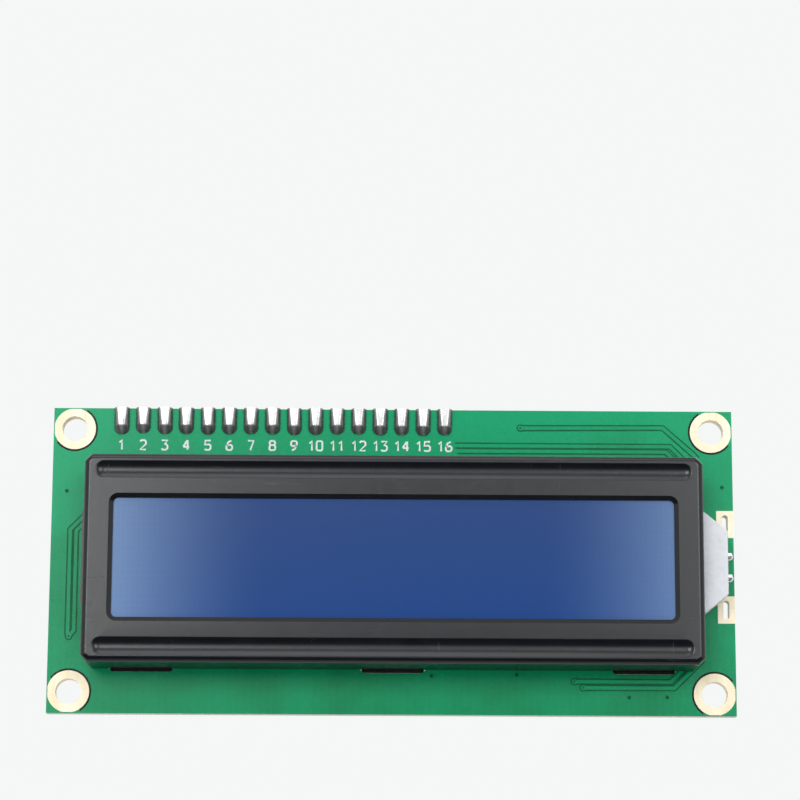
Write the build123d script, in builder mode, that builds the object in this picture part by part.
"""Character LCD module with a soldered-on serial adapter, standing upright as it is fixed in a panel.

Millimetres. The display faces -Y, +Z is up and +X is to the right as one reads the display. The origin is the
centre of the four corner holes, on the display board's front face. Heights in front of that face are measured
towards -Y, heights behind the board towards +Y.
"""

import os

from build123d import *

os.makedirs("parts", exist_ok=True)

# The window sets the bezel's size, and the bezel sets the board's
window_length = 64.5
window_height = 13.8
window_end_gap = 3.4
window_side_gap = 5.15
bezel_length = window_length + 2 * window_end_gap
bezel_height = window_height + 2 * window_side_gap
bezel_end_gap = 4.35
bezel_side_gap = 5.95

# Display board
board_length = bezel_length + 2 * bezel_end_gap
board_height = bezel_height + 2 * bezel_side_gap
board_thickness = 1.6
hole_edge_gap = 2.5
hole_pitch_x = board_length - 2 * hole_edge_gap
hole_pitch_z = board_height - 2 * hole_edge_gap
hole_bore = 3.0
hole_plating = 0.05
hole_land_radius = 2.45
land_thickness = 0.05
land_edge_margin = 0.12

# Sixteen-way header that joins the two boards
pin_pitch = 2.54
pin_width = 0.64
pin_count = 16
pin_clearance = 0.02
plated_hole = 1.0
small_round_sides = 12
header_start = 8.0
header_center_x = -board_length / 2 + header_start + (pin_count - 1) * pin_pitch / 2
header_edge_gap = 2.0
header_z = board_height / 2 - header_edge_gap
spacer_width = 2.5
spacer_height = 2.54
spacer_bevel = 0.5
spacer_notch = spacer_bevel * 2**0.5
joint_width = 1.85
joint_length = 3.2
joint_height = 0.9
joint_foot = 0.1
joint_bevel = 0.5
dome_base_radius = 1.05
dome_height = 0.9
dome_foot = 0.1
dome_bevel = 0.43
pin_tip_height = 1.25
pin_tip_bevel = 0.15

# Pressed steel bezel
bezel_depth = 7.4
bezel_sheet = 0.4
bezel_center_x = 0.1
bezel_center_z = -0.8
bezel_corner = 0.8
inner_corner = bezel_corner - (2 - 2**0.5) * bezel_sheet
bezel_bend = 0.7
wall_lift = 0.35
window_corner = 0.6
window_flare = 0.5
channel_depth = 0.35
channel_width = 2.1
channel_edge_gap = 0.8
channel_offset = bezel_height / 2 - channel_edge_gap - channel_width / 2
channel_end_gap = 1.2
channel_back_taper = 25.0
back_chamfer = 0.6
bulge_end_gap = 6.85
side_bulge_length = bezel_height - 2 * bulge_end_gap
side_bulge = 0.25
side_bulge_slope = 0.8

# Twisted tabs that hold the bezel on the board
tab_width = 6.6
tab_end_gap = 6.45
tab_spread = bezel_length / 2 - tab_end_gap
slot_end_gap = 0.5
slot_length = tab_width + 2 * slot_end_gap
slot_width = 1.4
slot_shift = 0.15
tab_rise = 1.15
tab_twist_angle = 42.0
tab_straight = 2.3
tab_bend = 0.9
tab_tip_bevel = 0.12
tab_land_margin = 0.3
tab_land_length = tab_width + 2 * tab_land_margin
tab_land_height = 2.8

# Display cell and backlight, stacked from the bezel towards the board
corner_clearance = 0.07
glass_thickness = 1.1
polarizer_thickness = 0.2
polarizer_margin = 1.2
strip_width = 2.0
strip_gap = 0.1
cell_ledge_gap = 0.15
diffuser_thickness = 0.15
reflector_thickness = 0.2
guide_end_gap = 2.25
guide_gap = 0.2
guide_root_share = 0.628
guide_tip_share = 0.627
guide_tab_gap = 1.15
guide_tab_reach = board_length / 2 - guide_tab_gap
guide_tab_z = -0.6
lamp_length = 2.4
lamp_share = 0.675
lamp_height = 2.4
lamp_gap = 0.1
lamp_lead = 0.45
lamp_lead_pitch = 2.54
lamp_lead_offset = 0.5
lamp_lead_x = guide_tab_reach + lamp_lead_offset
lamp_lead_drop = 0.5
lamp_hole = 0.75
lamp_solder_radius = 0.6
lamp_solder_taper = 35.0
lamp_solder_height = 0.4

# Lands at the board's edge for the backlight's supply
edge_land_length = 2.0
edge_land_height = 3.2
edge_land_pitch = 10.1
edge_land_z = -0.55
edge_slot_width = 0.7
edge_slot_length = 2.2

# Resin over the two bonded chips
blob_height = 1.7
blob_edge = 0.15
left_blob_radius = 5.75
left_blob_inset = 26.7
left_blob_z = 0.2
right_blob_radius = 6.5
right_blob_inset = 26.9
right_blob_z = -1.0

# Adapter board
adapter_thickness = 1.6
adapter_top_gap = 1.35
adapter_side_gap = 1.4
adapter_length = (pin_count - 1) * pin_pitch + 2 * adapter_side_gap

# Chip resistors, capacitor and lamp
small_chip = (2.0, 1.25, 0.5)
small_chip_end = 0.4
large_chip = (3.2, 1.6, 0.55)
large_chip_end = 0.5
chip_end_wrap = 0.03
chip_land_overhang = 0.45
capacitor_height = 0.9

# Driver chip
driver_width = 7.5
driver_height = 2.3
driver_standoff = 0.15
driver_draft = 7.0
driver_shift = -0.15
driver_top_gap = 2.35
driver_low_gap = 4.6
driver_lead_pitch = 1.27
driver_lead_count = 8
driver_lead_margin = 0.705
driver_length = (driver_lead_count - 1) * driver_lead_pitch + 2 * driver_lead_margin
driver_lead_width = 0.42
driver_lead_sheet = 0.25
driver_lead_run = 1.4
driver_span = driver_width + 2 * driver_lead_run
driver_foot = 0.7
driver_shoulder = 0.45
driver_land_margin = 1.45
driver_land_reach = driver_span / 2 + driver_land_margin
driver_land_width = 0.75
dimple_radius = 0.55
dimple_depth = 0.12
dimple_inset = 1.05
dimple_row_inset = 1.6

# Contrast trimmer
trimmer_length = 6.9
trimmer_height = 6.6
trimmer_depth = 4.9
trimmer_foot = 0.5
trimmer_foot_gap = 0.05
trimmer_from_header = (11.25, -6.2)
trimmer_edge = 0.15
rotor_radius = 1.5
rotor_clearance = 0.05
rotor_depth = 1.6
rotor_recess = 0.12
rotor_shaft_radius = 0.9
rotor_shaft_length = 1.2
rotor_slot_width = 0.62
rotor_slot_depth = 0.9
trimmer_mark_radius = 0.32
trimmer_mark_depth = 0.6
trimmer_mark_at = (-2.3, -1.55)
trimmer_pin = 0.5
trimmer_pin_spread = 2.54
trimmer_pin_low = 1.9
trimmer_pin_high = 0.64
trimmer_pin_hole = 0.8
trimmer_foot_size = trimmer_height / 2 - trimmer_pin_low - trimmer_pin / 2 - trimmer_foot_gap

# Right-angle headers on the adapter
bend_header_width = 2.5
bend_header_height = 2.54
bend_pin_clearance = 0.22
bend_pin_reach = 8.25
bend_pin_radius = 0.5
bus_from_header = (19.2, -7.7)
bus_pin_count = 4
lamp_from_header = (-19.15, -6.7)
lamp_pin_count = 2
underside_pin = 1.0
underside_joint_radius = 0.95
underside_joint_height = 0.7
underside_joint_foot = 0.1
underside_joint_bevel = 0.3

# Jumper cap on the two-way header
cap_length = 5.95
cap_width = 4.9
cap_height = 2.5
cap_gap = 0.1
cap_wall_gap = 0.04
cap_edge = 0.2
neck_width = 0.72
neck_recess = 0.25
rib_width = 0.7
cap_notch_width = 1.2
cap_notch_depth = 2.2
contact_sheet = 0.15
contact_clearance = 0.04
contact_inset = 0.6
contact_length = 4.8
contact_web = 0.8

# Regulator transistor
transistor_size = (2.9, 1.3, 1.0)
transistor_from_header = (-15.2, -6.0)
transistor_lead_width = 0.4
transistor_lead_reach = 0.55
transistor_lead_sheet = 0.15
transistor_lead_pitch = 1.9
transistor_standoff = 0.1
transistor_land = (0.8, 0.8)
transistor_shoulder = 0.21

# Heights that follow from the sizes above
glass_front = bezel_depth - bezel_sheet - channel_depth
glass_middle = glass_front - glass_thickness
glass_rear = glass_middle - glass_thickness
film_rear = glass_rear - polarizer_thickness
guide_front = film_rear - diffuser_thickness
inner_length = bezel_length - 2 * bezel_sheet
inner_height = bezel_height - 2 * bezel_sheet
cell_gap = inner_corner / 2 + corner_clearance
glass_length = inner_length - 2 * cell_gap
front_glass_height = inner_height - 2 * cell_gap
strip_offset = inner_height / 2 - strip_gap - strip_width / 2
rear_glass_height = 2 * (strip_offset - strip_width / 2 - cell_ledge_gap)
guide_length = inner_length - 2 * guide_end_gap
strip_length = guide_length
guide_tab_root = guide_root_share * rear_glass_height
guide_tab_tip = guide_tip_share * guide_tab_root
lamp_width = lamp_share * guide_tab_tip
adapter_lift = spacer_height
adapter_face = adapter_lift + adapter_thickness
bend_pin_height = bend_header_height + bend_pin_clearance + pin_width / 2
driver_drop = driver_top_gap + driver_length / 2
adapter_height = adapter_top_gap + driver_drop + driver_length / 2 + driver_low_gap
adapter_z = header_z + adapter_top_gap - adapter_height / 2
adapter_u = -header_center_x + (pin_count - 1) * pin_pitch / 2 + adapter_side_gap - adapter_length / 2


def front(height, x=0.0, z=0.0):
    """Plane parallel to the display, a height in front of the board; its sketch axes are +X and +Z."""
    return Plane(origin=(x, -height, z), x_dir=(1, 0, 0), z_dir=(0, -1, 0))


def back(height, u=0.0, z=0.0):
    """Plane a height behind the board, seen from behind; its sketch axes are -X (called u) and +Z."""
    return Plane(origin=(-u, board_thickness + height, z), x_dir=(-1, 0, 0), z_dir=(0, 1, 0))


def save(name, part):
    """Label a finished piece and write it under its own name."""
    part.label = name
    export_step(part, f"parts/{name}.step")


# Places shared by the board, its lands and the pieces on them
tab_places = [-tab_spread, 0.0, tab_spread]
tab_wall_z = bezel_height / 2 - bezel_sheet / 2
tab_slot_z = tab_wall_z - slot_shift
tab_slots = [(bezel_center_x + x, bezel_center_z + way * tab_slot_z) for x in tab_places for way in (1, -1)]
lamp_leads_at = [(lamp_lead_x, guide_tab_z + way * lamp_lead_pitch / 2) for way in (1, -1)]
edge_land_x = (board_length - edge_land_length) / 2
edge_lands = [(edge_land_x, edge_land_z + way * edge_land_pitch / 2) for way in (1, -1)]
header_u = -header_center_x
tab_land_z = tab_slot_z - slot_width / 2 - tab_land_height / 2
row_low = bezel_center_z - tab_land_z + tab_land_height / 2
row_high = bezel_center_z + tab_land_z - tab_land_height / 2


def from_left(inset, z):
    """Place on the board's back, a distance from its left end as seen from behind."""
    return (inset - board_length / 2, z)


def from_right(inset, z):
    """Place on the board's back, a distance from its right end as seen from behind."""
    return (board_length / 2 - inset, z)


def row(share):
    """Height of a row on the board's back, as a share of the way from the lower tab lands to the upper ones."""
    return row_low + share * (row_high - row_low)


def on_adapter(u, z):
    """Place on the adapter, measured from the middle of the header's row."""
    return (header_u + u, header_z + z)


left_blob_at = from_left(left_blob_inset, left_blob_z)
right_blob_at = from_right(right_blob_inset, right_blob_z)
upper_drill = (*from_left(24.9, board_height / 2 - 6.6), 1.0)
lower_drill = (*from_right(25.0, 5.9 - board_height / 2), 0.9)
board_drills = [upper_drill, lower_drill]
jumper_lands = [from_left(inset, row(0.907)) for inset in (8.4, 10.9, 13.4)]
jumper_land_radius = 1.05
jumper_land_split = 0.3
bridge_taper = 40.0
bridge_height = 0.6
memory_steps = (1.5, 0.5, -0.5, -1.5)
memory_pitch = pin_pitch / 2
memory_lands = [from_left(inset, row(0.653) + memory_pitch * step) for inset in (8.05, 13.85) for step in memory_steps]
memory_land_size = (2.0, 0.75)
filter_lands = [from_left(inset, row(share)) for inset in (8.6, 12.1) for share in (0.3825, 0.1687)]
filter_land_size = (1.6, 2.0)
link_lands = [from_left(inset, rise - board_height / 2) for inset in (4.2, 5.9) for rise in (9.4, 7.3)]
link_land_size = (1.1, 1.3)

# Chip parts as (u, z, turned upright), on the display board and on the adapter
board_small_chips = [(*from_right(9.15, row(share)), False) for share in (0.425, 0.292, 0.157)]
board_small_chips += [(*from_right(17.75, row(0.298)), False)]
board_large_chips = [(*from_left(19.95, board_height / 2 - 5.45), False)]
adapter_chips = [
    (*on_adapter(-11.65, -5.85), True),
    (*on_adapter(-13.6, -10.6), True),
    (*on_adapter(-11.0, -10.6), True),
    (*on_adapter(-8.55, -10.6), True),
    (*on_adapter(-9.65, -15.15), False),
    (*on_adapter(-5.2, -15.15), False),
    (*on_adapter(-0.8, -15.15), False),
]
capacitor_at = [(*on_adapter(-9.05, -5.85), True)]
indicator_at = [(*on_adapter(-16.05, -10.7), True)]
select_lands = [on_adapter(u, -14.25 + half) for u in (8.95, 11.45, 13.85) for half in (0.62, -0.62)]
select_land_size = (1.0, 0.9)
driver_at = on_adapter(driver_shift, -driver_drop)
trimmer_at = on_adapter(*trimmer_from_header)
bus_header_at = on_adapter(*bus_from_header)
lamp_header_at = on_adapter(*lamp_from_header)
transistor_at = on_adapter(*transistor_from_header)

with BuildPart() as main_board:
    with BuildSketch(front(0)):
        Rectangle(board_length, board_height)
        with GridLocations(hole_pitch_x, hole_pitch_z, 2, 2):
            Circle(hole_bore / 2 + hole_plating, mode=Mode.SUBTRACT)
        with Locations((header_center_x, header_z)):
            with GridLocations(pin_pitch, 0, pin_count, 1):
                RegularPolygon(plated_hole / 2, small_round_sides, mode=Mode.SUBTRACT)
        with Locations(*tab_slots):
            SlotOverall(slot_length, slot_width, mode=Mode.SUBTRACT)
        with Locations(*lamp_leads_at):
            RegularPolygon(lamp_hole / 2, small_round_sides, mode=Mode.SUBTRACT)
        with Locations(*edge_lands):
            SlotOverall(edge_slot_length, edge_slot_width, rotation=90, mode=Mode.SUBTRACT)
        for drill_u, drill_z, drill_size in board_drills:
            with Locations((-drill_u, drill_z)):
                RegularPolygon(drill_size / 2, small_round_sides, mode=Mode.SUBTRACT)
    extrude(amount=-board_thickness)
save("main_board", main_board.part)

# Plated corner holes: a ring on each face, cut flat by the board's edges, joined by the plating in the hole
with BuildPart() as hole_lands:
    with BuildSketch(front(land_thickness)):
        with GridLocations(hole_pitch_x, hole_pitch_z, 2, 2):
            Circle(hole_bore / 2 + hole_plating)
            Circle(hole_bore / 2, mode=Mode.SUBTRACT)
    extrude(amount=-board_thickness - 2 * land_thickness)
    for face_plane in (front(0), back(0)):
        with BuildSketch(face_plane):
            with GridLocations(hole_pitch_x, hole_pitch_z, 2, 2):
                Circle(hole_land_radius)
                Circle(hole_bore / 2 + hole_plating / 2, mode=Mode.SUBTRACT)
            Rectangle(
                board_length - 2 * land_edge_margin, board_height - 2 * land_edge_margin, mode=Mode.INTERSECT
            )
        extrude(amount=land_thickness)
save("hole_lands", hole_lands.part)

# Shapes that several pieces share

def chip_spots(chips):
    """Sketch locations of chip parts, given as (u, z, stands upright)."""
    return [Location((u, z, 0), (0, 0, 90 if upright else 0)) for u, z, upright in chips]


def chip_lands(chips, size, end):
    """A land under each end of each chip part, in the current sketch."""
    land = end + chip_land_overhang
    with Locations(*chip_spots(chips)):
        with GridLocations(size[0] - 2 * end + land, 0, 2, 1):
            Rectangle(land, size[1] + 2 * chip_end_wrap)


def rectangles(places, size):
    """Rectangles of one size at each place of the current sketch."""
    with Locations(*places):
        Rectangle(*size)


# Lands on the front face for the backlight's supply
with BuildPart() as front_lands:
    with BuildSketch(front(0)):
        with Locations(*edge_lands):
            Rectangle(edge_land_length, edge_land_height)
            SlotOverall(edge_slot_length, edge_slot_width, rotation=90, mode=Mode.SUBTRACT)
    extrude(amount=land_thickness)
save("front_lands", front_lands.part)

# Lands on the back: tab slots, edge lands, split jumpers, unused footprints and chip parts
with BuildPart() as back_lands:
    with BuildSketch(back(0)):
        with Locations((-bezel_center_x, bezel_center_z)):
            with GridLocations(tab_spread, 2 * tab_land_z, 3, 2):
                Rectangle(tab_land_length, tab_land_height)
        with Locations(*[(-x, z) for x, z in edge_lands]):
            Rectangle(edge_land_length, edge_land_height)
            SlotOverall(edge_slot_length, edge_slot_width, rotation=90, mode=Mode.SUBTRACT)
        with Locations(*jumper_lands):
            Circle(jumper_land_radius)
            Rectangle(jumper_land_split, 2 * jumper_land_radius, mode=Mode.SUBTRACT)
        rectangles(memory_lands, memory_land_size)
        rectangles(filter_lands, filter_land_size)
        rectangles(link_lands, link_land_size)
        chip_lands(board_small_chips, small_chip, small_chip_end)
        chip_lands(board_large_chips, large_chip, large_chip_end)
    extrude(amount=land_thickness)
save("back_lands", back_lands.part)

# Solder bridge over the first of the three split lands
with BuildPart() as solder_bridge:
    with BuildSketch(back(land_thickness, *jumper_lands[0])):
        RegularPolygon(jumper_land_radius, small_round_sides)
    extrude(amount=bridge_height, taper=bridge_taper)
save("solder_bridge", solder_bridge.part)


# Bezel: one pressed sheet with a flared window, two channels, a bulged left wall and six twisted tabs
channel_radius = (channel_width**2 / 4 + channel_depth**2) / (2 * channel_depth)
channel_axis = bezel_depth - channel_depth + channel_radius


def channel_bar(radius):
    """Two round bars with ball ends, whose fronts press the channels into the bezel's face."""
    reach = bezel_length / 2 - channel_end_gap - channel_width / 2
    with BuildPart() as bar:
        with Locations(front(channel_axis, bezel_center_x, bezel_center_z)):
            with GridLocations(0, 2 * channel_offset, 1, 2):
                Cylinder(radius, 2 * reach, rotation=(0, 90, 0))
            with GridLocations(2 * reach, 2 * channel_offset, 2, 2):
                Sphere(radius)
    return bar.part


def bulge_outline(inset):
    """Outline of the bulge in the bezel's left wall, moved inwards by an inset."""
    wall = -bezel_length / 2 + inset
    half = side_bulge_length / 2
    Polygon(
        (wall, half + side_bulge_slope),
        (wall - side_bulge, half),
        (wall - side_bulge, -half),
        (wall, -half - side_bulge_slope),
    )


def tab_section(angle):
    """Outline of a tab across its thickness: straight in its slot, then turned out of line by an angle."""
    runs = [(tab_straight, 0.0), (tab_bend, angle / 2), (tab_width - tab_straight - tab_bend, angle)]
    spine = [Vector(-tab_width / 2, 0)]
    for length, turn in runs:
        spine.append(spine[-1] + Vector(length, 0).rotate(Axis.Z, turn))
    turns = [0.0, angle / 4, 3 * angle / 4, angle]
    offsets = [Vector(0, bezel_sheet / 2).rotate(Axis.Z, turn) for turn in turns]
    outline = [point + offset for point, offset in zip(spine, offsets)]
    outline += [point - offset for point, offset in reversed(list(zip(spine, offsets)))]
    Polygon(*[(point.X, point.Y) for point in outline])


with BuildPart() as twisted_tabs:
    tab_root = board_thickness + bezel_sheet + wall_lift
    with BuildSketch(back(land_thickness)):
        tab_section(tab_twist_angle)
    extrude(amount=tab_rise - land_thickness)
    chamfer(twisted_tabs.faces().sort_by(Axis.Y)[-1].edges().sort_by(SortBy.LENGTH)[:2], tab_tip_bevel)
    with Locations(back(land_thickness)):
        Box(tab_width, bezel_sheet, tab_root, align=(Align.CENTER, Align.CENTER, Align.MAX))

with BuildPart() as bezel:
    wall_height = bezel_depth - wall_lift
    with BuildSketch(front(wall_lift, bezel_center_x, bezel_center_z)) as bezel_outline:
        Rectangle(bezel_length, bezel_height)
        chamfer(bezel_outline.vertices(), bezel_corner)
    extrude(amount=wall_height)
    fillet(bezel.faces().sort_by(Axis.Y)[0].edges(), bezel_bend)
    with BuildSketch(front(wall_lift, bezel_center_x, bezel_center_z)) as bezel_hollow:
        Rectangle(inner_length, inner_height)
        chamfer(bezel_hollow.vertices(), inner_corner)
    extrude(amount=wall_height - bezel_sheet, mode=Mode.SUBTRACT)
    inner_face = bezel.faces().filter_by(Axis.Y).sort_by(Axis.Y)[1]
    chamfer(inner_face.edges(), (bezel_bend - bezel_sheet) * back_chamfer)
    with BuildSketch(front(bezel_depth - bezel_sheet, bezel_center_x, bezel_center_z)):
        with GridLocations(0, 2 * channel_offset, 1, 2):
            Rectangle(bezel_length - 2 * channel_end_gap, channel_width)
    extrude(amount=-channel_depth, taper=channel_back_taper)
    add(channel_bar(channel_radius), mode=Mode.SUBTRACT)
    with BuildSketch(front(bezel_depth - bezel_sheet, bezel_center_x, bezel_center_z)):
        RectangleRounded(window_length, window_height, window_corner)
    with BuildSketch(front(bezel_depth, bezel_center_x, bezel_center_z)):
        RectangleRounded(
            window_length + 2 * window_flare, window_height + 2 * window_flare, window_corner + window_flare
        )
    loft(mode=Mode.SUBTRACT)
    with BuildSketch(front(wall_lift + bezel_sheet, bezel_center_x, guide_tab_z)):
        bulge_outline(0.0)
    extrude(amount=wall_height - 2 * bezel_bend - bezel_sheet)
    with BuildSketch(front(wall_lift + 2 * bezel_sheet, bezel_center_x, guide_tab_z)):
        bulge_outline(bezel_sheet)
    extrude(amount=wall_height - 2 * bezel_bend - 3 * bezel_sheet, mode=Mode.SUBTRACT)
    with BuildSketch(front(wall_lift, bezel_center_x + bezel_length / 2 - bezel_sheet / 2, guide_tab_z)):
        Rectangle(2 * bezel_sheet, guide_tab_root + 2 * guide_gap)
    extrude(amount=guide_front + guide_gap - wall_lift, mode=Mode.SUBTRACT)
    for tab_x in tab_places:
        for way, turned in ((-1, 0), (1, 180)):
            place = Location((bezel_center_x + tab_x, 0, bezel_center_z + way * tab_wall_z), (0, turned, 0))
            add(twisted_tabs.part.moved(place))
save("bezel", bezel.part)


def slab(height, thickness, length, width):
    """Flat rectangular piece of the display stack, a height in front of the board, centred in the bezel."""
    with BuildPart() as piece:
        with BuildSketch(front(height, bezel_center_x, bezel_center_z)):
            Rectangle(length, width)
        extrude(amount=thickness)
    return piece.part


# Display cell
film_length = window_length + 2 * polarizer_margin
film_height = window_height + 2 * polarizer_margin
save("front_polarizer", slab(glass_front, polarizer_thickness, film_length, film_height))
save("front_glass", slab(glass_middle, glass_thickness, glass_length, front_glass_height))
save("rear_glass", slab(glass_rear, glass_thickness, glass_length, rear_glass_height))
save("rear_polarizer", slab(film_rear, polarizer_thickness, film_length, film_height))
save("diffuser_film", slab(guide_front, diffuser_thickness, guide_length, rear_glass_height))
save("reflector_film", slab(0, reflector_thickness, guide_length, rear_glass_height))

# Rubber strips that carry the contacts from the board to the front glass
with BuildPart() as contact_strips:
    with BuildSketch(front(0, bezel_center_x, bezel_center_z)):
        with GridLocations(0, 2 * strip_offset, 1, 2):
            Rectangle(strip_length, strip_width)
    extrude(amount=glass_middle)
save("contact_strips", contact_strips.part)

# Light guide with the tapered end that comes out through the bezel's right wall and holds the lamp
with BuildPart() as light_guide:
    with BuildSketch(front(reflector_thickness)):
        with Locations((bezel_center_x, bezel_center_z)):
            Rectangle(guide_length, rear_glass_height)
        guide_end = bezel_center_x + guide_length / 2
        neck_end = bezel_center_x + bezel_length / 2 + bezel_sheet
        with BuildLine():
            Polyline(
                (guide_end, guide_tab_z + guide_tab_root / 2),
                (neck_end, guide_tab_z + guide_tab_root / 2),
                (guide_tab_reach, guide_tab_z + guide_tab_tip / 2),
                (guide_tab_reach, guide_tab_z - guide_tab_tip / 2),
                (neck_end, guide_tab_z - guide_tab_root / 2),
                (guide_end, guide_tab_z - guide_tab_root / 2),
                close=True,
            )
        make_face()
    extrude(amount=guide_front - reflector_thickness)
    with BuildSketch(front(reflector_thickness, guide_tab_reach - lamp_length / 2, guide_tab_z)):
        Rectangle(lamp_length + 2 * lamp_gap, lamp_width + 2 * lamp_gap)
    extrude(amount=lamp_height + lamp_gap, mode=Mode.SUBTRACT)
save("light_guide", light_guide.part)

with BuildPart() as backlight_lamp:
    with BuildSketch(front(reflector_thickness, guide_tab_reach - lamp_length / 2, guide_tab_z)):
        Rectangle(lamp_length, lamp_width)
    extrude(amount=lamp_height)
save("backlight_lamp", backlight_lamp.part)

# Each lamp lead leaves the lamp's end face and turns down through the board
lead_height = reflector_thickness + lamp_height / 2
with BuildPart() as lamp_leads:
    for lead_x, lead_z in lamp_leads_at:
        with BuildSketch(Plane(origin=(0, 0, lead_z), x_dir=(1, 0, 0), z_dir=(0, 0, 1))):
            with BuildLine():
                Polyline(
                    (guide_tab_reach, -lead_height - lamp_lead / 2),
                    (lead_x + lamp_lead / 2, -lead_height - lamp_lead / 2),
                    (lead_x + lamp_lead / 2, board_thickness + lamp_lead_drop),
                    (lead_x - lamp_lead / 2, board_thickness + lamp_lead_drop),
                    (lead_x - lamp_lead / 2, -lead_height + lamp_lead / 2),
                    (guide_tab_reach, -lead_height + lamp_lead / 2),
                    close=True,
                )
            make_face()
        extrude(amount=lamp_lead / 2, both=True)
save("lamp_leads", lamp_leads.part)

with BuildPart() as lamp_solder:
    lamp_solder_planes = [front(0, lead_x, lead_z) for lead_x, lead_z in lamp_leads_at]
    lamp_solder_planes += [back(0, -lead_x, lead_z) for lead_x, lead_z in lamp_leads_at]
    with BuildSketch(*lamp_solder_planes):
        RegularPolygon(lamp_solder_radius, small_round_sides)
    extrude(amount=lamp_solder_height, taper=lamp_solder_taper)
    with BuildSketch(*lamp_solder_planes):
        Rectangle(lamp_lead, lamp_lead)
    extrude(amount=lamp_solder_height, mode=Mode.SUBTRACT)
save("lamp_solder", lamp_solder.part)

# Resin domes over the bonded chips
with BuildPart() as chip_blobs:
    for blob_radius, blob_at in ((left_blob_radius, left_blob_at), (right_blob_radius, right_blob_at)):
        blob_u, blob_z = blob_at
        dome_rise = blob_height - blob_edge
        crown = (blob_radius**2 + dome_rise**2) / (2 * dome_rise)
        with BuildSketch(Plane(origin=(-blob_u, board_thickness, blob_z), x_dir=(1, 0, 0), z_dir=(0, 0, 1))):
            with BuildLine():
                Polyline((0, blob_height), (0, 0), (blob_radius, 0), (blob_radius, blob_edge))
                RadiusArc((blob_radius, blob_edge), (0, blob_height), -crown)
            make_face()
        revolve(axis=Axis((-blob_u, 0, blob_z), (0, 1, 0)))
save("chip_blobs", chip_blobs.part)

# Header between the boards: bevelled spacer, square pins, joints on both boards
with BuildPart() as header_spacer:
    with BuildSketch(back(0, header_u, header_z)):
        Rectangle(pin_count * pin_pitch, spacer_width)
        with GridLocations(pin_pitch, spacer_width, pin_count + 1, 2):
            Rectangle(spacer_notch, spacer_notch, rotation=45, mode=Mode.SUBTRACT)
        with GridLocations(pin_pitch, 0, pin_count, 1):
            Rectangle(pin_width + 2 * pin_clearance, pin_width + 2 * pin_clearance, mode=Mode.SUBTRACT)
    extrude(amount=spacer_height)
save("header_spacer", header_spacer.part)

with BuildPart() as header_pins:
    with BuildSketch(back(-board_thickness, header_u, header_z)):
        with GridLocations(pin_pitch, 0, pin_count, 1):
            Rectangle(pin_width, pin_width)
    extrude(amount=board_thickness + adapter_face + pin_tip_height)
    chamfer(header_pins.faces().sort_by(Axis.Y)[-pin_count:].edges(), pin_tip_bevel)
save("header_pins", header_pins.part)

# Each joint runs from the board's upper edge down to a round end
with BuildPart() as front_joints:
    with BuildSketch(front(0)):
        round_z = board_height / 2 - joint_length + joint_width / 2
        with Locations((header_center_x, round_z)):
            with GridLocations(pin_pitch, 0, pin_count, 1):
                RegularPolygon(joint_width / 2, small_round_sides)
        with Locations((header_center_x, (round_z + board_height / 2) / 2)):
            with GridLocations(pin_pitch, 0, pin_count, 1):
                Rectangle(joint_width, board_height / 2 - round_z)
    extrude(amount=joint_height)
    joint_tops = front_joints.faces().sort_by(Axis.Y)[:pin_count]
    chamfer(joint_tops.edges(), joint_height - joint_foot, joint_bevel)
save("front_joints", front_joints.part)

with BuildPart() as adapter_joints:
    with BuildSketch(back(adapter_face, header_u, header_z)):
        with GridLocations(pin_pitch, 0, pin_count, 1):
            RegularPolygon(dome_base_radius, small_round_sides)
    extrude(amount=dome_height)
    dome_tops = adapter_joints.faces().sort_by(Axis.Y)[-pin_count:]
    chamfer(dome_tops.edges(), dome_height - dome_foot, dome_bevel)
    with BuildSketch(back(adapter_face, header_u, header_z)):
        with GridLocations(pin_pitch, 0, pin_count, 1):
            Rectangle(pin_width, pin_width)
    extrude(amount=dome_height, mode=Mode.SUBTRACT)
save("adapter_joints", adapter_joints.part)

# Pin places on the adapter
trimmer_pins_at = [
    (trimmer_at[0] - trimmer_pin_spread, trimmer_at[1] - trimmer_pin_low),
    (trimmer_at[0], trimmer_at[1] + trimmer_pin_high),
    (trimmer_at[0] + trimmer_pin_spread, trimmer_at[1] - trimmer_pin_low),
]


def header_column(center, count):
    """Pin places of an upright row of pins about a centre (u, z)."""
    return [(center[0], center[1] + (step - (count - 1) / 2) * pin_pitch) for step in range(count)]


bend_pins_at = header_column(bus_header_at, bus_pin_count) + header_column(lamp_header_at, lamp_pin_count)

with BuildPart() as adapter_board:
    with BuildSketch(back(adapter_lift)):
        with Locations((adapter_u, adapter_z)):
            Rectangle(adapter_length, adapter_height)
        with Locations((header_u, header_z)):
            with GridLocations(pin_pitch, 0, pin_count, 1):
                RegularPolygon(plated_hole / 2, small_round_sides, mode=Mode.SUBTRACT)
        with Locations(*bend_pins_at):
            RegularPolygon(plated_hole / 2, small_round_sides, mode=Mode.SUBTRACT)
        with Locations(*trimmer_pins_at):
            RegularPolygon(trimmer_pin_hole / 2, small_round_sides, mode=Mode.SUBTRACT)
    extrude(amount=adapter_thickness)
save("adapter_board", adapter_board.part)

# Lands on the adapter's outer face
driver_rows = [(step - (driver_lead_count - 1) / 2) * driver_lead_pitch for step in range(driver_lead_count)]
transistor_u, transistor_z = transistor_at
transistor_length, transistor_width, transistor_rise = transistor_size
transistor_reach = transistor_width / 2 + transistor_lead_reach
transistor_leads_at = [
    (transistor_u, 1),
    (transistor_u - transistor_lead_pitch / 2, -1),
    (transistor_u + transistor_lead_pitch / 2, -1),
]
transistor_feet = [(foot_u, transistor_z + way * transistor_reach) for foot_u, way in transistor_leads_at]

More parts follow.
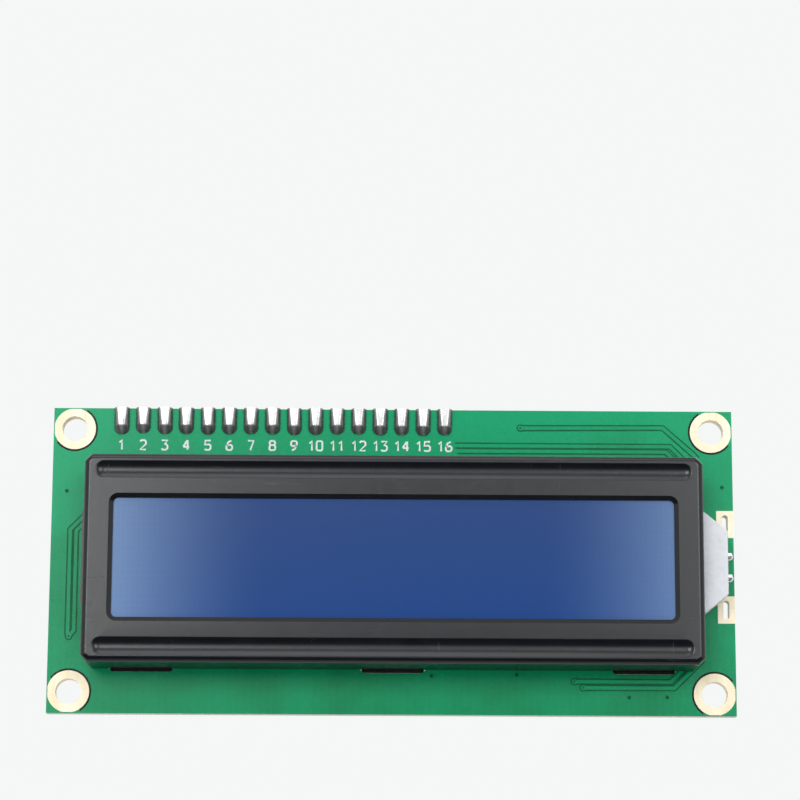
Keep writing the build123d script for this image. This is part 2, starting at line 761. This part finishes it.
with BuildPart() as adapter_lands:
    with BuildSketch(back(adapter_face)):
        land_start = driver_span / 2 - driver_foot
        land_run = driver_land_reach - land_start
        land_mid = (land_start + driver_land_reach) / 2
        for way in (1, -1):
            driver_lands = [(driver_at[0] + way * land_mid, driver_at[1] + step) for step in driver_rows]
            rectangles(driver_lands, (land_run, driver_land_width))
        rectangles(select_lands, select_land_size)
        rectangles(transistor_feet, transistor_land)
        chip_lands(adapter_chips + capacitor_at + indicator_at, small_chip, small_chip_end)
    extrude(amount=land_thickness)
save("adapter_lands", adapter_lands.part)


def side(height, u, z):
    """Plane square to the boards, a height behind the display board; its sketch axes are u and the height."""
    return Plane(origin=(-u, board_thickness + height, z), x_dir=(-1, 0, 0), z_dir=(0, 0, -1))


def end_on(height, u, z, way):
    """Plane square to the boards and the header's row; its sketch axes are Z, times way, and the height."""
    return Plane(origin=(-u, board_thickness + height, z), x_dir=(0, 0, way), z_dir=(-way, 0, 0))


def gull_wing(start, shoulder_height, shoulder, foot_start, foot_end, sheet):
    """Section of a bent lead: level from the body, down, then level on its land."""
    Polygon(
        (start, shoulder_height + sheet / 2),
        (start + shoulder, shoulder_height + sheet / 2),
        (foot_start + sheet, sheet),
        (foot_end, sheet),
        (foot_end, 0),
        (foot_start, 0),
        (start + shoulder - sheet, shoulder_height - sheet / 2),
        (start, shoulder_height - sheet / 2),
    )


# Driver chip
driver_seat = adapter_face + land_thickness
driver_middle = driver_standoff + driver_height / 2
with BuildPart() as driver_chip:
    with BuildSketch(back(driver_seat + driver_middle, *driver_at)):
        Rectangle(driver_width, driver_length)
    extrude(amount=driver_height / 2, both=True, taper=driver_draft)
    with Locations(
        back(
            driver_seat + driver_standoff + driver_height,
            driver_at[0] + driver_width / 2 - dimple_inset,
            driver_at[1] - driver_length / 2 + dimple_row_inset,
        )
    ):
        Cylinder(dimple_radius, 2 * dimple_depth, mode=Mode.SUBTRACT)
save("driver_chip", driver_chip.part)

with BuildPart() as driver_leads:
    with BuildSketch(*[side(driver_seat, driver_at[0], driver_at[1] + step) for step in driver_rows]):
        gull_wing(
            driver_width / 2,
            driver_middle,
            driver_shoulder,
            driver_span / 2 - driver_foot - driver_lead_sheet,
            driver_span / 2,
            driver_lead_sheet,
        )
    extrude(amount=driver_lead_width / 2, both=True)
    mirror(about=Plane(origin=(-driver_at[0], 0, 0), z_dir=(1, 0, 0)))
save("driver_leads", driver_leads.part)

# Contrast trimmer: a body on four feet, a rotor with a cross slot in its bore, three pins
trimmer_top = adapter_face + trimmer_depth
trimmer_bore = rotor_depth + rotor_recess + rotor_clearance
with BuildPart() as trimmer_body:
    with BuildSketch(back(adapter_face + trimmer_foot, *trimmer_at)):
        Rectangle(trimmer_length, trimmer_height)
    extrude(amount=trimmer_depth - trimmer_foot)
    chamfer(trimmer_body.faces().sort_by(Axis.Y)[-1].edges(), trimmer_edge)
    with BuildSketch(back(adapter_face, *trimmer_at)):
        with GridLocations(trimmer_length - trimmer_foot_size, trimmer_height - trimmer_foot_size, 2, 2):
            Rectangle(trimmer_foot_size, trimmer_foot_size)
    extrude(amount=trimmer_foot)
    with BuildSketch(back(trimmer_top, *trimmer_at)):
        Circle(rotor_radius + rotor_clearance)
    extrude(amount=-trimmer_bore, mode=Mode.SUBTRACT)
    with BuildSketch(back(trimmer_top - trimmer_bore, *trimmer_at)):
        Circle(rotor_shaft_radius + rotor_clearance)
    extrude(amount=-rotor_shaft_length - rotor_clearance, mode=Mode.SUBTRACT)
    with BuildSketch(back(trimmer_top, *trimmer_at)):
        with Locations(trimmer_mark_at):
            Circle(trimmer_mark_radius)
    extrude(amount=-trimmer_mark_depth, mode=Mode.SUBTRACT)
save("trimmer_body", trimmer_body.part)

with BuildPart() as trimmer_rotor:
    with BuildSketch(back(trimmer_top - rotor_recess, *trimmer_at)):
        Circle(rotor_radius)
    extrude(amount=-rotor_depth)
    with BuildSketch(back(trimmer_top - rotor_recess - rotor_depth, *trimmer_at)):
        Circle(rotor_shaft_radius)
    extrude(amount=-rotor_shaft_length)
    with BuildSketch(back(trimmer_top - rotor_recess, *trimmer_at)):
        for turn in (0, 90):
            Rectangle(2 * rotor_radius + rotor_slot_width, rotor_slot_width, rotation=turn)
    extrude(amount=-rotor_slot_depth, mode=Mode.SUBTRACT)
save("trimmer_rotor", trimmer_rotor.part)

with BuildPart() as trimmer_pins:
    with BuildSketch(back(adapter_lift - underside_pin)):
        with Locations(*trimmer_pins_at):
            RegularPolygon(trimmer_pin / 2, small_round_sides)
    extrude(amount=underside_pin + adapter_thickness + trimmer_foot)
save("trimmer_pins", trimmer_pins.part)


# Right-angle headers: a bevelled block on the board, pins that rise through it and bend outwards
def bend_header_body(center, count):
    """Plastic block of an upright row of pins, bevelled between its cells."""
    with BuildPart() as block:
        with BuildSketch(back(adapter_face, *center)):
            Rectangle(bend_header_width, count * pin_pitch)
            with GridLocations(bend_header_width, pin_pitch, 2, count + 1):
                Rectangle(spacer_notch, spacer_notch, rotation=45, mode=Mode.SUBTRACT)
            with GridLocations(0, pin_pitch, 1, count):
                Rectangle(pin_width + 2 * pin_clearance, pin_width + 2 * pin_clearance, mode=Mode.SUBTRACT)
        extrude(amount=bend_header_height)
    return block.part


def bend_header_pins(center, count, way):
    """Square pins from below the adapter, up through the block, then bent level along u, times way."""
    low = adapter_lift - underside_pin
    level = adapter_face + bend_pin_height
    half = pin_width / 2
    with BuildPart() as pins:
        with BuildSketch(*[side(0, u, z) for u, z in header_column(center, count)]):
            Polygon(
                (-way * half, low),
                (way * half, low),
                (way * half, level - half),
                (way * bend_pin_reach, level - half),
                (way * bend_pin_reach, level + half),
                (-way * half, level + half),
            )
        extrude(amount=half, both=True)
        outer = pins.edges().filter_by(Axis.Z).filter_by_position(
            Axis.Y, board_thickness + level, board_thickness + level + bend_pin_reach
        )
        bend_edges = outer.group_by(Axis.X)[-1 if way > 0 else 0]
        fillet(bend_edges, bend_pin_radius)
        tips = pins.faces().filter_by(Axis.X).group_by(Axis.X)[0 if way > 0 else -1]
        chamfer(tips.edges(), pin_tip_bevel)
    return pins.part


save("bus_header", bend_header_body(bus_header_at, bus_pin_count))
save("bus_pins", bend_header_pins(bus_header_at, bus_pin_count, 1))
save("lamp_header", bend_header_body(lamp_header_at, lamp_pin_count))
save("lamp_pins", bend_header_pins(lamp_header_at, lamp_pin_count, -1))

# Solder where the adapter's pins come out of its inner face
with BuildPart() as underside_joints:
    with BuildSketch(back(adapter_lift)):
        with Locations(*bend_pins_at, *trimmer_pins_at):
            RegularPolygon(underside_joint_radius, small_round_sides)
    extrude(amount=-underside_joint_height)
    low_faces = underside_joints.faces().sort_by(Axis.Y)[: len(bend_pins_at) + len(trimmer_pins_at)]
    chamfer(low_faces.edges(), underside_joint_height - underside_joint_foot, underside_joint_bevel)
    with BuildSketch(back(adapter_lift)):
        with Locations(*bend_pins_at):
            Rectangle(pin_width, pin_width)
        with Locations(*trimmer_pins_at):
            RegularPolygon(trimmer_pin / 2, small_round_sides)
    extrude(amount=-underside_joint_height, mode=Mode.SUBTRACT)
save("underside_joints", underside_joints.part)

# Jumper cap: a shell with a ribbed end and a notch, and the sprung contact that joins the two pins
cap_axis = adapter_face + bend_pin_height
cap_inner = lamp_header_at[0] - bend_header_width / 2 - cap_gap
cap_outer = cap_inner - cap_length
cap_mid = (cap_inner + cap_outer) / 2
sleeve_bore = pin_width + 2 * contact_clearance
sleeve_size = sleeve_bore + 2 * contact_sheet
sleeve_outer_end = cap_outer + contact_inset
sleeve_mid = sleeve_outer_end + contact_length / 2
web_mid = sleeve_outer_end + contact_web / 2

with BuildPart() as jumper_contact:
    with BuildSketch(back(cap_axis - sleeve_size / 2, sleeve_mid, lamp_header_at[1])):
        with GridLocations(0, pin_pitch, 1, lamp_pin_count):
            Rectangle(contact_length, sleeve_size)
    extrude(amount=sleeve_size)
    with BuildSketch(back(cap_axis + sleeve_size / 2 - contact_sheet, web_mid, lamp_header_at[1])):
        Rectangle(contact_web, pin_pitch)
    extrude(amount=contact_sheet)
    with BuildSketch(back(cap_axis - sleeve_bore / 2, sleeve_mid, lamp_header_at[1])):
        with GridLocations(0, pin_pitch, 1, lamp_pin_count):
            Rectangle(2 * contact_length, sleeve_bore)
    extrude(amount=sleeve_bore, mode=Mode.SUBTRACT)
save("jumper_contact", jumper_contact.part)

with BuildPart() as jumper_shell:
    with BuildSketch(back(cap_axis - cap_height / 2, cap_mid, lamp_header_at[1])):
        Rectangle(cap_length, cap_width)
    extrude(amount=cap_height)
    chamfer(jumper_shell.edges().filter_by(Axis.X), cap_edge)
    neck_mid = cap_outer + rib_width + neck_width / 2
    with BuildSketch(back(cap_axis - cap_height / 2, neck_mid, lamp_header_at[1])):
        with GridLocations(0, cap_width, 1, 2):
            Rectangle(neck_width, 2 * neck_recess)
    extrude(amount=cap_height, mode=Mode.SUBTRACT)
    for neck_face in (cap_axis - cap_height / 2, cap_axis + cap_height / 2):
        with BuildSketch(back(neck_face, neck_mid, lamp_header_at[1])):
            Rectangle(neck_width, cap_width)
        extrude(amount=neck_recess / 2, both=True, mode=Mode.SUBTRACT)
    notch_mid = cap_outer + cap_notch_depth - cap_notch_width / 2
    with BuildSketch(back(cap_axis - cap_height / 2, notch_mid, lamp_header_at[1])):
        Circle(cap_notch_width / 2)
        with Locations((-cap_notch_depth / 2, 0)):
            Rectangle(cap_notch_depth, cap_notch_width)
    extrude(amount=cap_height, mode=Mode.SUBTRACT)
    with BuildSketch(back(cap_axis - sleeve_size / 2 - cap_wall_gap, 0, lamp_header_at[1])):
        cavity_end = sleeve_outer_end - cap_wall_gap
        with Locations(((cavity_end + cap_inner) / 2, 0)):
            with GridLocations(0, pin_pitch, 1, lamp_pin_count):
                Rectangle(cap_inner - cavity_end, sleeve_size + 2 * cap_wall_gap)
    extrude(amount=sleeve_size + 2 * cap_wall_gap, mode=Mode.SUBTRACT)
    web_low = cap_axis + sleeve_size / 2 - contact_sheet
    with BuildSketch(back(web_low - cap_wall_gap, web_mid, lamp_header_at[1])):
        Rectangle(contact_web + 2 * cap_wall_gap, pin_pitch)
    extrude(amount=contact_sheet + 2 * cap_wall_gap, mode=Mode.SUBTRACT)
    with BuildSketch(back(cap_axis - sleeve_bore / 2, cap_outer, lamp_header_at[1])):
        with GridLocations(0, pin_pitch, 1, lamp_pin_count):
            Rectangle(4 * rib_width, sleeve_bore)
    extrude(amount=sleeve_bore, mode=Mode.SUBTRACT)
save("jumper_shell", jumper_shell.part)

# Regulator transistor
transistor_seat = adapter_face + land_thickness
with BuildPart() as transistor_body:
    with BuildSketch(back(transistor_seat + (transistor_rise + transistor_standoff) / 2, *transistor_at)):
        Rectangle(transistor_length, transistor_width)
    extrude(amount=(transistor_rise - transistor_standoff) / 2, both=True, taper=driver_draft)
save("transistor_body", transistor_body.part)

with BuildPart() as transistor_leads:
    for lead_u, way in transistor_leads_at:
        with BuildSketch(end_on(transistor_seat, lead_u, transistor_z, way)):
            gull_wing(
                transistor_width / 2,
                (transistor_rise + transistor_standoff) / 2,
                transistor_shoulder,
                transistor_width / 2 + transistor_lead_sheet / 2,
                transistor_reach,
                transistor_lead_sheet,
            )
        extrude(amount=transistor_lead_width / 2, both=True)
save("transistor_leads", transistor_leads.part)


# Chip parts: a body between two metal ends that wrap it
def chip_bodies(level, groups):
    """Bodies of chip parts on a level; each group is (places, size, end length)."""
    with BuildPart() as bodies:
        for places, size, end in groups:
            with BuildSketch(back(level + land_thickness + chip_end_wrap)):
                with Locations(*chip_spots(places)):
                    Rectangle(size[0] - 2 * end, size[1])
            extrude(amount=size[2])
    return bodies.part


def chip_ends(level, groups):
    """Metal ends of the same chip parts."""
    with BuildPart() as ends:
        for places, size, end in groups:
            with BuildSketch(back(level + land_thickness)):
                with Locations(*chip_spots(places)):
                    with GridLocations(size[0] - end, 0, 2, 1):
                        Rectangle(end, size[1] + 2 * chip_end_wrap)
            extrude(amount=size[2] + 2 * chip_end_wrap)
    return ends.part


board_groups = [
    (board_small_chips, small_chip, small_chip_end),
    (board_large_chips, large_chip, large_chip_end),
]
adapter_groups = [(adapter_chips, small_chip, small_chip_end)]
capacitor_groups = [(capacitor_at, (small_chip[0], small_chip[1], capacitor_height), small_chip_end)]
indicator_groups = [(indicator_at, small_chip, small_chip_end)]

save("board_resistors", chip_bodies(0, board_groups))
save("board_resistor_ends", chip_ends(0, board_groups))
save("adapter_resistors", chip_bodies(adapter_face, adapter_groups))
save("adapter_resistor_ends", chip_ends(adapter_face, adapter_groups))
save("capacitor", chip_bodies(adapter_face, capacitor_groups))
save("capacitor_ends", chip_ends(adapter_face, capacitor_groups))
save("indicator_lamp", chip_bodies(adapter_face, indicator_groups))
save("indicator_ends", chip_ends(adapter_face, indicator_groups))
